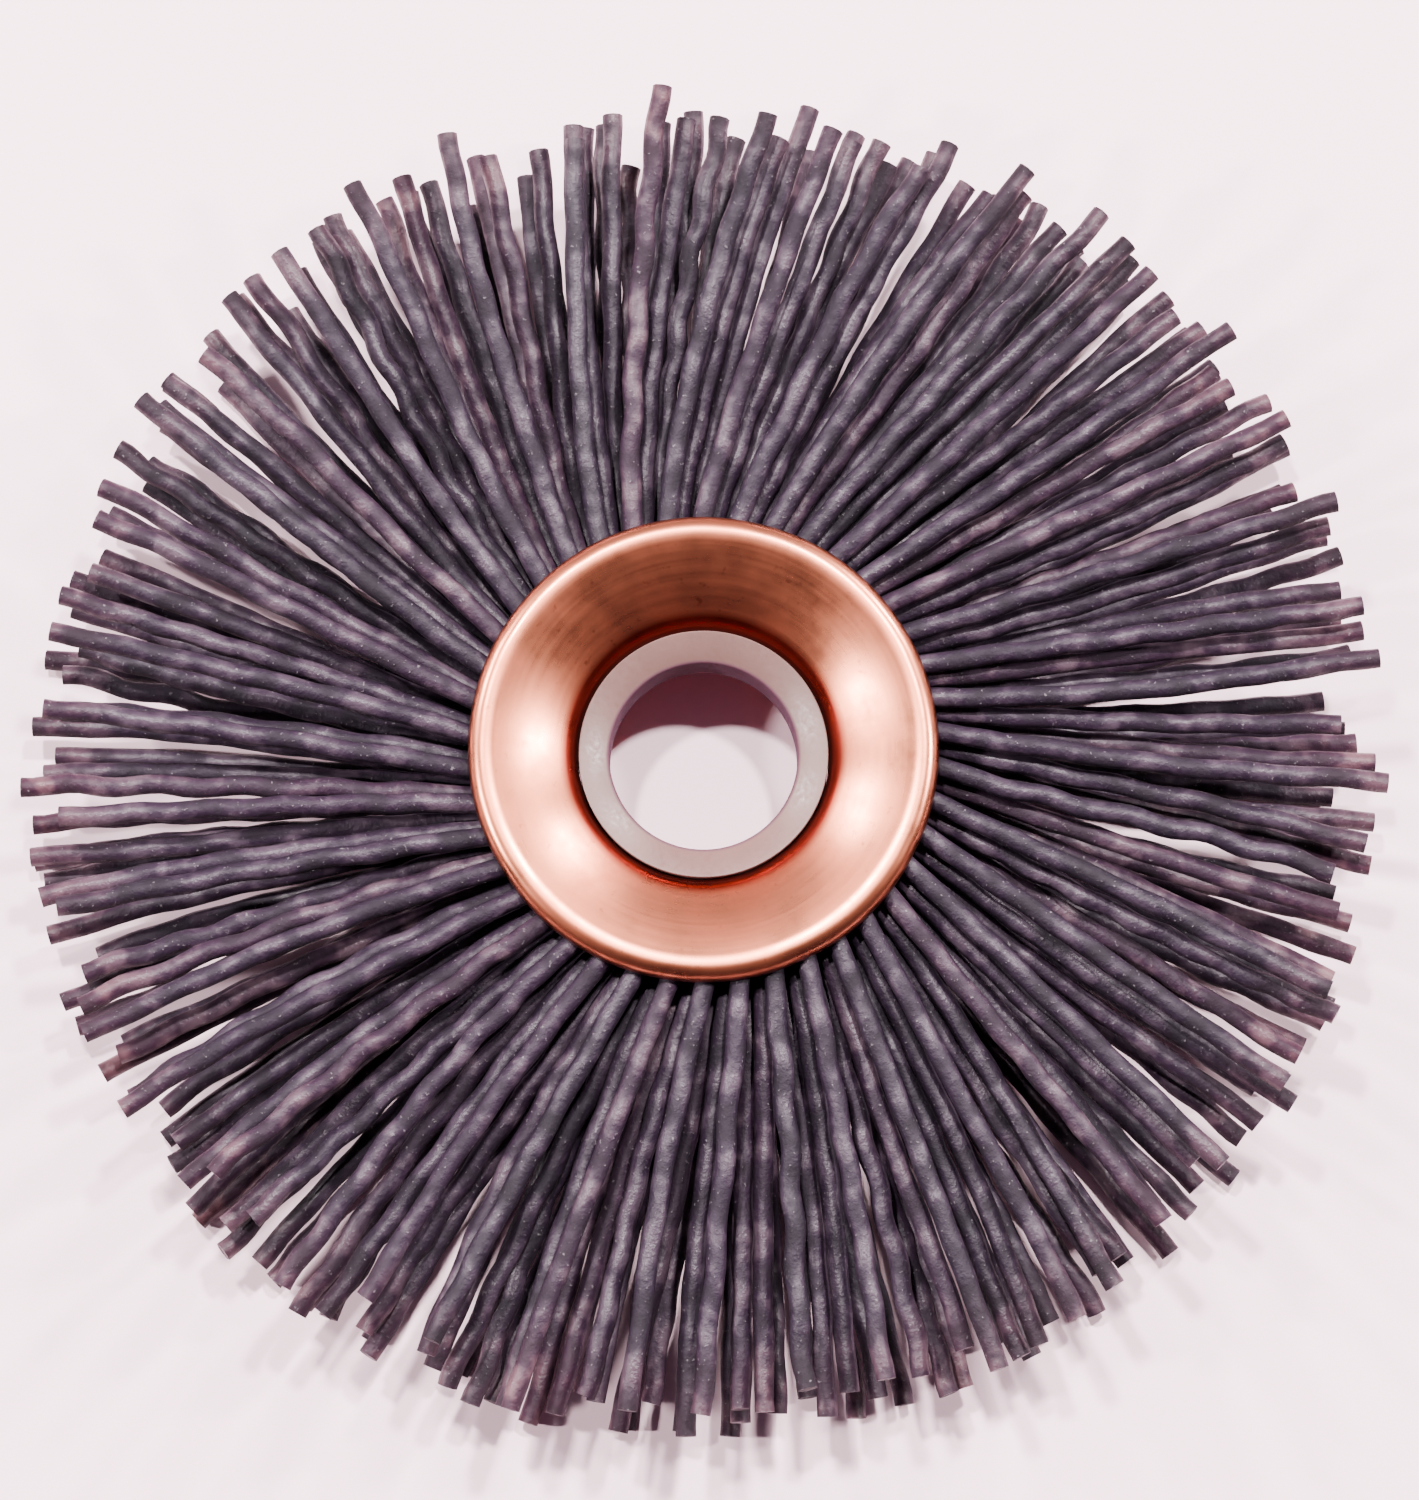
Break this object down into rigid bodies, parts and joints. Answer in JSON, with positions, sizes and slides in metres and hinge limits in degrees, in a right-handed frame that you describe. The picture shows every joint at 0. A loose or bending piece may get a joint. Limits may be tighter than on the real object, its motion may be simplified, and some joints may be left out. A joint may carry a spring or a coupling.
{
  "type": "small copper-centre wheel brush",
  "caption": "Small rotary wheel brush with crimped abrasive nylon filaments folded round a ring, a flared copper centre and a removable nylon arbor reducer.",
  "frame": {"origin": "middle of the arbor bore, halfway between the two flanges", "axes": "+Z along the arbor bore, out of the face that shows; the wheel lies in XY"},
  "size_m": [0.0682, 0.0688, 0.0096],
  "materials": {
    "copper": "satin copper",
    "core_steel": "drawn wire",
    "nylon": "natural moulded nylon",
    "filament": "grit-loaded nylon"
  },
  "bodies": {
    "wheel": {"copper_center": "copper", "core_ring": "core_steel", "filament_tuft_01": "filament", "filament_tuft_02": "filament", "filament_tuft_03": "filament", "filament_tuft_04": "filament", "filament_tuft_05": "filament", "filament_tuft_06": "filament", "filament_tuft_07": "filament", "filament_tuft_08": "filament", "filament_tuft_09": "filament", "filament_tuft_10": "filament", "filament_tuft_11": "filament", "filament_tuft_12": "filament", "filament_tuft_13": "filament", "filament_tuft_14": "filament", "filament_tuft_15": "filament", "filament_tuft_16": "filament", "filament_tuft_17": "filament", "filament_tuft_18": "filament", "filament_tuft_19": "filament", "filament_tuft_20": "filament", "filament_tuft_21": "filament"},
    "reducer": {"arbor_reducer": "nylon"}
  },
  "joints": [
    {"name": "reducer_slide", "type": "slide", "parent": "wheel", "child": "reducer", "axis": [0, 0, 1], "range_m": [0, 0.012]}
  ]
}
